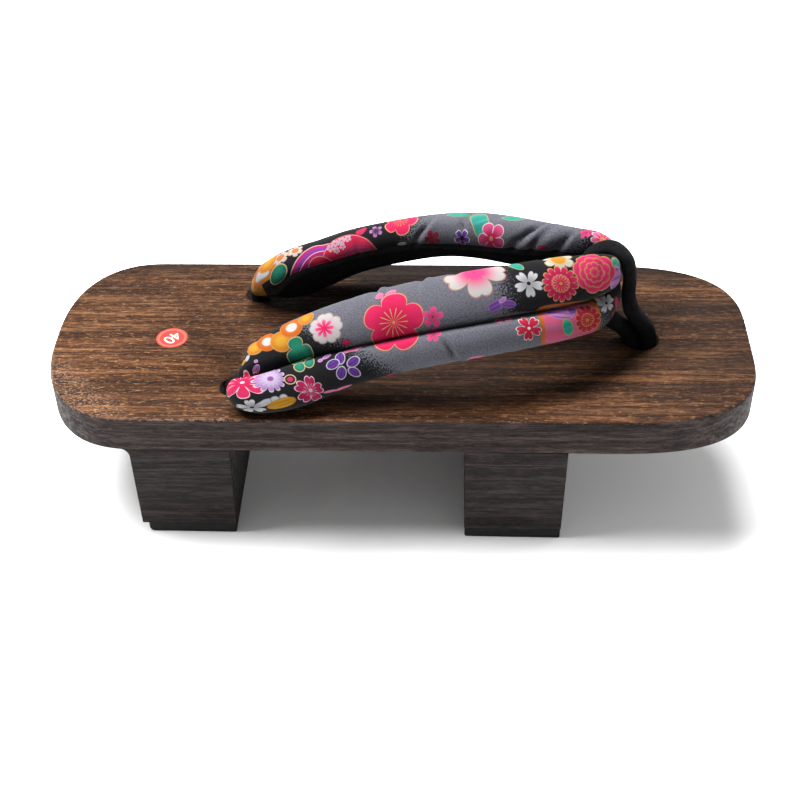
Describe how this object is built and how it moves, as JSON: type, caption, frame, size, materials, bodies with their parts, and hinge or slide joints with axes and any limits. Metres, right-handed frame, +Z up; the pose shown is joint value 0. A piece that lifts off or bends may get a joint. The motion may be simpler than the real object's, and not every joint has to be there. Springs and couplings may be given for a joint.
{
  "type": "geta sandal",
  "caption": "Wooden platform sandal on cross teeth, with a padded cloth V strap held by a toe thong through the board.",
  "frame": {"origin": "on the floor, under the middle of the board", "axes": "+X to the toe, +Y to the wearer's left, +Z up"},
  "size_m": [0.255, 0.0961, 0.0975],
  "materials": {
    "board_wood": "burnt and brushed light wood, open straight grain, satin",
    "tooth_wood": "dark stained wood with lengthwise streaks, satin",
    "tread_rubber": "matt black rubber",
    "strap_cloth": "printed cotton over soft padding, black lining on the inner face",
    "thong_cloth": "black napped cloth",
    "sticker": "round printed size sticker"
  },
  "bodies": {
    "root": {"board": "board_wood", "tooth_rear": "tooth_wood", "tooth_front": "tooth_wood", "tread_rear": "tread_rubber", "tread_front": "tread_rubber", "strap": "strap_cloth", "toe_thong": "thong_cloth", "toe_knot": "thong_cloth", "rear_knot_right": "thong_cloth", "rear_knot_left": "thong_cloth"}
  },
  "joints": []
}
